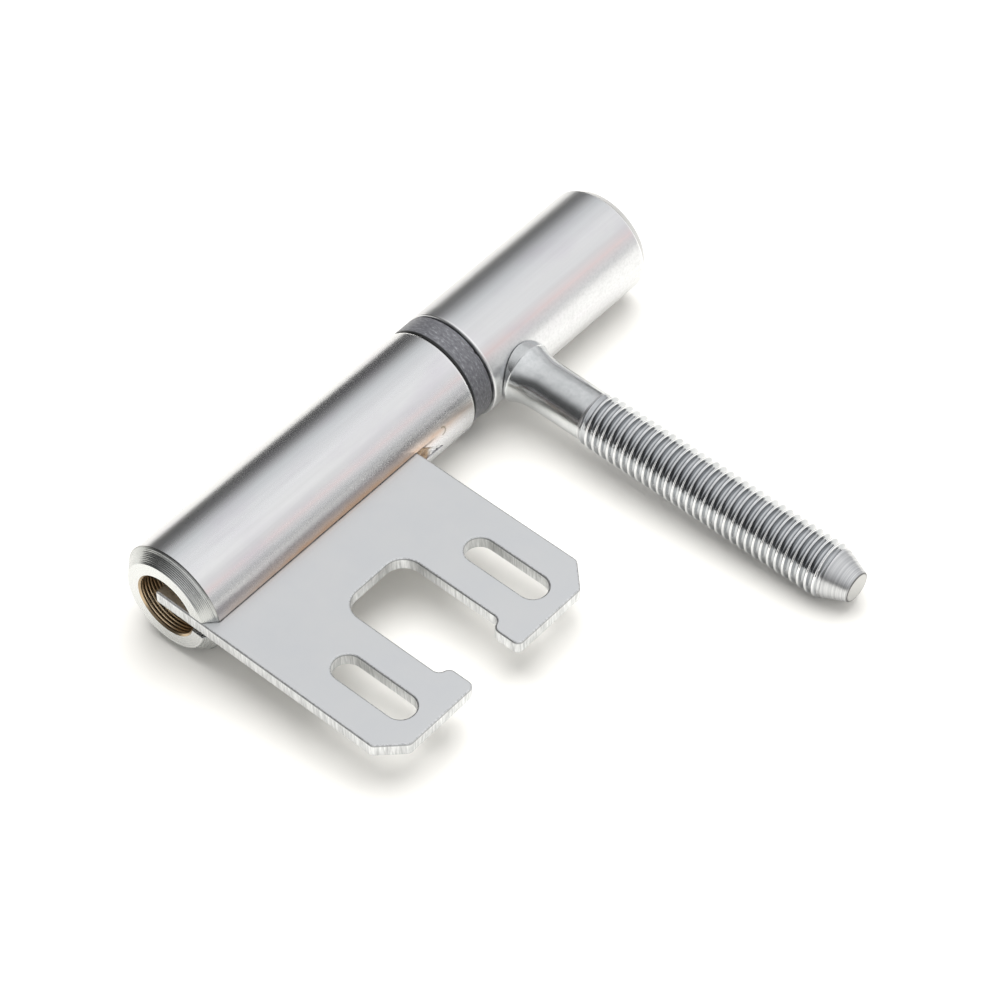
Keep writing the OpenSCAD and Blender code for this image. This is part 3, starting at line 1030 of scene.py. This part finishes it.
def ring_plastic():
    """Slate-grey ring with rubbed, paler marks along its turned surface."""
    n = Nodes("slate_ring")
    x, y, z = n.split(n.place)
    angle = n.math("ARCTAN2", z, x)
    around = n.join(times(n, angle, 4 * MM), y, 0.0)
    rub = n.noise(around, 2600, 4, 0.7)
    cloud = n.noise(n.place, 500, 3)
    colour = n.ramp(rub, (0.3, RING_DARK), (0.55, RING_SLATE), (0.72, RING_RUBBED))
    edge = n.math("GREATER_THAN", n.math("ABSOLUTE", n.math("SUBTRACT", y, 2.55 * MM)), 2.12 * MM)
    worn = n.math("MULTIPLY", edge, n.math("GREATER_THAN", cloud, 0.56))
    colour = n.mix(times(n, worn, 0.6), colour, RING_WORN)
    gap = n.math("DIVIDE", n.math("SUBTRACT", 0.85 * MM, y), 0.2 * MM, clamp=True)
    colour = n.mix(gap, colour, RING_SHADED)
    n.bump(rub, 0.4, 0.02)
    return n.finish(colour, spread(n, rub, 0.5, 0.36), 0.35)


def stud_zinc():
    """Bright zinc on the turned and rolled stud: painted shade in the thread's grooves,
    crests paler, partly from wear and partly as a painted highlight, turned lines
    on the cone and a dark rim round the flat point."""
    n = Nodes("stud_zinc")
    x, y, z = n.split(n.place)
    along, rise = untilted(n, x, z)
    radius = from_axis(n, rise, n.math("SUBTRACT", y, STUD_Y * MM))
    grain = n.noise(n.place, 3000, 2, 0.6)
    rings = n.noise(n.join(x, 0.0, 0.0), 5200, 2)
    cloud = n.noise(n.place, 260, 3)
    colour = n.ramp(cloud, (0.3, STUD_COOL), (0.7, STUD_WARM))
    neck = n.math("LESS_THAN", along, THREAD_X * MM)
    smear = n.ramp(n.noise(n.place, 700, 4, 0.65), (0.34, NECK_DARK), (0.62, NECK_PALE))
    colour = n.mix(neck, colour, smear)
    sunk = n.math("DIVIDE", n.math("SUBTRACT", CREST_R * MM, radius),
                  (CREST_R - ROOT_R) * MM, clamp=True)
    # Painted shade in the thread's grooves: this mask and the duller colour below
    groove_shade = n.ramp(sunk, (0.1, 0.0), (0.3, 1.0))
    thread = times(n, n.math("GREATER_THAN", along, (THREAD_X + 0.5) * MM),
                   n.math("LESS_THAN", along, (CONE_X + 0.6) * MM))
    dull = n.ramp(cloud, (0.3, GROOVE_SHADE_DARK), (0.7, GROOVE_SHADE_PALE))
    # Paler crests: partly wear, partly a painted highlight
    worn = times(n, thread, n.ramp(sunk, (0.04, 1.0), (0.12, 0.0)))
    colour = n.mix(worn, colour, CREST_WORN_HIGHLIGHT)
    colour = n.mix(times(n, groove_shade, thread), colour, dull)
    turned = n.noise(n.join(x, 0.0, 0.0), 3400, 3, 0.7)
    cone = n.math("GREATER_THAN", along, (CONE_X + 1.2) * MM)
    lines = n.ramp(turned, (0.35, CONE_DARK), (0.65, CONE_PALE))
    colour = n.mix(cone, colour, lines)
    tip = n.math("GREATER_THAN", along, (STUD_REACH - 0.02) * MM)
    colour = n.mix(tip, colour, TIP_GREY)
    rim = times(n, n.math("GREATER_THAN", along, (STUD_REACH - 0.3) * MM),
                band(n, radius, (POINT_R - 0.1) * MM, 0.3 * MM))
    colour = n.mix(n.math("MULTIPLY", rim, 1.3, clamp=True), colour, TIP_RIM)
    rough = spread(n, grain, 0.26, 0.34)
    for where, gloss in ((thread, 0.14), (worn, 0.08), (neck, NECK_GLOSS)):
        rough = n.math("SUBTRACT", rough, times(n, where, gloss))
    n.bump(n.math("ADD", rings, grain), 0.3, 0.01)
    return n.finish(colour, rough)


def pin_steel():
    """Ground steel with a thin film of grease."""
    n = Nodes("pin_steel")
    y = n.split(n.place)["Y"]
    film = n.noise(n.place, 240, 4)
    rings = n.noise(n.join(0.0, y, 0.0), 3600, 2)
    colour = n.ramp(film, (0.35, PIN_DARK), (0.65, PIN_PALE))
    n.bump(rings, 0.2, 0.01)
    n.shader.inputs["Coat Weight"].default_value = 0.3
    return n.finish(colour, spread(n, film, 0.18, 0.34))


def braze_metal():
    """Tan filler metal, turning pale towards the bead's far end: partly clean metal, partly a
    painted highlight.
    """
    n = Nodes("braze_metal")
    y = n.split(n.place)["Y"]
    cloud = n.noise(n.place, 900, 4, 0.6)
    colour = n.ramp(cloud, (0.3, BRAZE_BROWN), (0.7, BRAZE_TAN))
    # Paler towards the far end, partly as a painted highlight
    pale_highlight = n.math("DIVIDE", n.math("SUBTRACT", y, (PLATE_FAR_Y + 2.4) * MM), 1.2 * MM, clamp=True)
    colour = n.mix(pale_highlight, colour, BRAZE_PALE_HIGHLIGHT)
    n.bump(cloud, 0.5, 0.05)
    return n.finish(colour, 0.33)


def lifted(point):
    """The inverse of laid_down for one point: in mm, with the stud along X."""
    cosine, sine = math.cos(REST_TILT), math.sin(REST_TILT)
    return Vector((cosine * point.x - sine * point.z, point.y,
                   sine * point.x + cosine * point.z)) / MM


def soft_world():
    """Bright above and to the right, falling to a dark surround, as a large soft box
    does. Every ray sees the same."""
    world = bpy.data.worlds.new("soft_studio")
    bpy.context.scene.world = world
    world.use_nodes = True
    tree = world.node_tree
    tree.nodes.clear()
    new, link = tree.nodes.new, tree.links.new
    place = new("ShaderNodeTexCoord")
    towards = new("ShaderNodeVectorMath")
    towards.operation = "DOT_PRODUCT"
    link(place.outputs["Generated"], towards.inputs[0])
    towards.inputs[1].default_value = SOFT_BOX
    share = new("ShaderNodeMapRange")
    share.inputs["From Min"].default_value = -1.0
    link(towards.outputs["Value"], share.inputs["Value"])
    ramp = new("ShaderNodeValToRGB")
    ramp.color_ramp.interpolation = "B_SPLINE"
    set_stops(ramp, [((cosine + 1) / 2, (level, level, level * SURROUND_BLUE))
                     for cosine, level in SURROUND])
    link(share.outputs["Result"], ramp.inputs[0])
    soft = new("ShaderNodeBackground")
    link(ramp.outputs["Color"], soft.inputs["Color"])
    split = new("ShaderNodeSeparateXYZ")
    link(place.outputs["Generated"], split.inputs[0])
    height = new("ShaderNodeValToRGB")
    height.color_ramp.interpolation = "EASE"
    set_stops(height, HEIGHT_LEVELS)
    link(split.outputs["Z"], height.inputs[0])
    flag = new("ShaderNodeMapRange")
    flag.interpolation_type = "SMOOTHSTEP"
    flag.inputs["From Min"].default_value = FLAG_EDGE
    flag.inputs["From Max"].default_value = FLAG_EDGE + FLAG_SOFT
    flag.inputs["To Min"].default_value = 1.0
    flag.inputs["To Max"].default_value = FLAG_LEVEL
    link(split.outputs["X"], flag.inputs["Value"])
    gain = new("ShaderNodeMath")
    gain.operation = "MULTIPLY"
    link(height.outputs["Color"], gain.inputs[0])
    link(flag.outputs["Result"], gain.inputs[1])
    link(gain.outputs[0], soft.inputs["Strength"])
    link(soft.outputs[0], new("ShaderNodeOutputWorld").inputs[0])


def soft_lamp():
    """A large disk above the part, which gives the floor its soft shadow."""
    lamp = bpy.data.lights.new("soft_lamp", "AREA")
    lamp.shape = "DISK"
    lamp.size = LAMP_SIZE
    lamp.energy = LAMP_POWER
    rig = bpy.data.objects.new("soft_lamp", lamp)
    bpy.context.scene.collection.objects.link(rig)
    aim = Vector(LAMP_TOWARDS).normalized()
    rig.location = PART_MIDDLE + aim * LAMP_DISTANCE
    rig.rotation_euler = aim.to_track_quat("Z", "Y").to_euler()
    rig.visible_glossy = False
    rig.visible_camera = False


def pale_floor():
    """The plain floor that the part rests on."""
    mesh = bpy.data.meshes.new("floor")
    side, z = FLOOR_HALF, cad_low.z
    mesh.from_pydata([(-side, -side, z), (side, -side, z), (side, side, z), (-side, side, z)],
                     [], [(0, 1, 2, 3)])
    floor = bpy.data.objects.new("floor", mesh)
    bpy.context.scene.collection.objects.link(floor)
    n = Nodes("white_floor")
    grain = n.noise(n.place, 30, 2)
    paper = n.mix(grain, FLOOR_COLOUR, tuple(FLOOR_GRAIN * c for c in FLOOR_COLOUR))
    n.shader.inputs["Specular IOR Level"].default_value = 0.0
    mesh.materials.append(n.finish(paper, 0.9, 0.0))


def camera():
    """The photograph's viewpoint."""
    data = bpy.data.cameras.new("camera")
    data.sensor_width = SENSOR_WIDTH
    data.lens = CAMERA_FOCUS * data.sensor_width / PHOTO_SIZE
    data.clip_start, data.clip_end = CAMERA_CLIP
    view = bpy.data.objects.new("camera", data)
    bpy.context.scene.collection.objects.link(view)
    view.location = Vector(CAMERA_PLACE) * MM
    view.rotation_euler = Euler([math.radians(a) for a in CAMERA_TURN])
    bpy.context.scene.camera = view


bpy.context.scene.view_settings.view_transform = "Standard"
camera()
soft_world()
soft_lamp()
pale_floor()
frame_knuckle()
frame_plate()
braze()
bearing_ring()
door_knuckle()
hinge_pin()
stud()
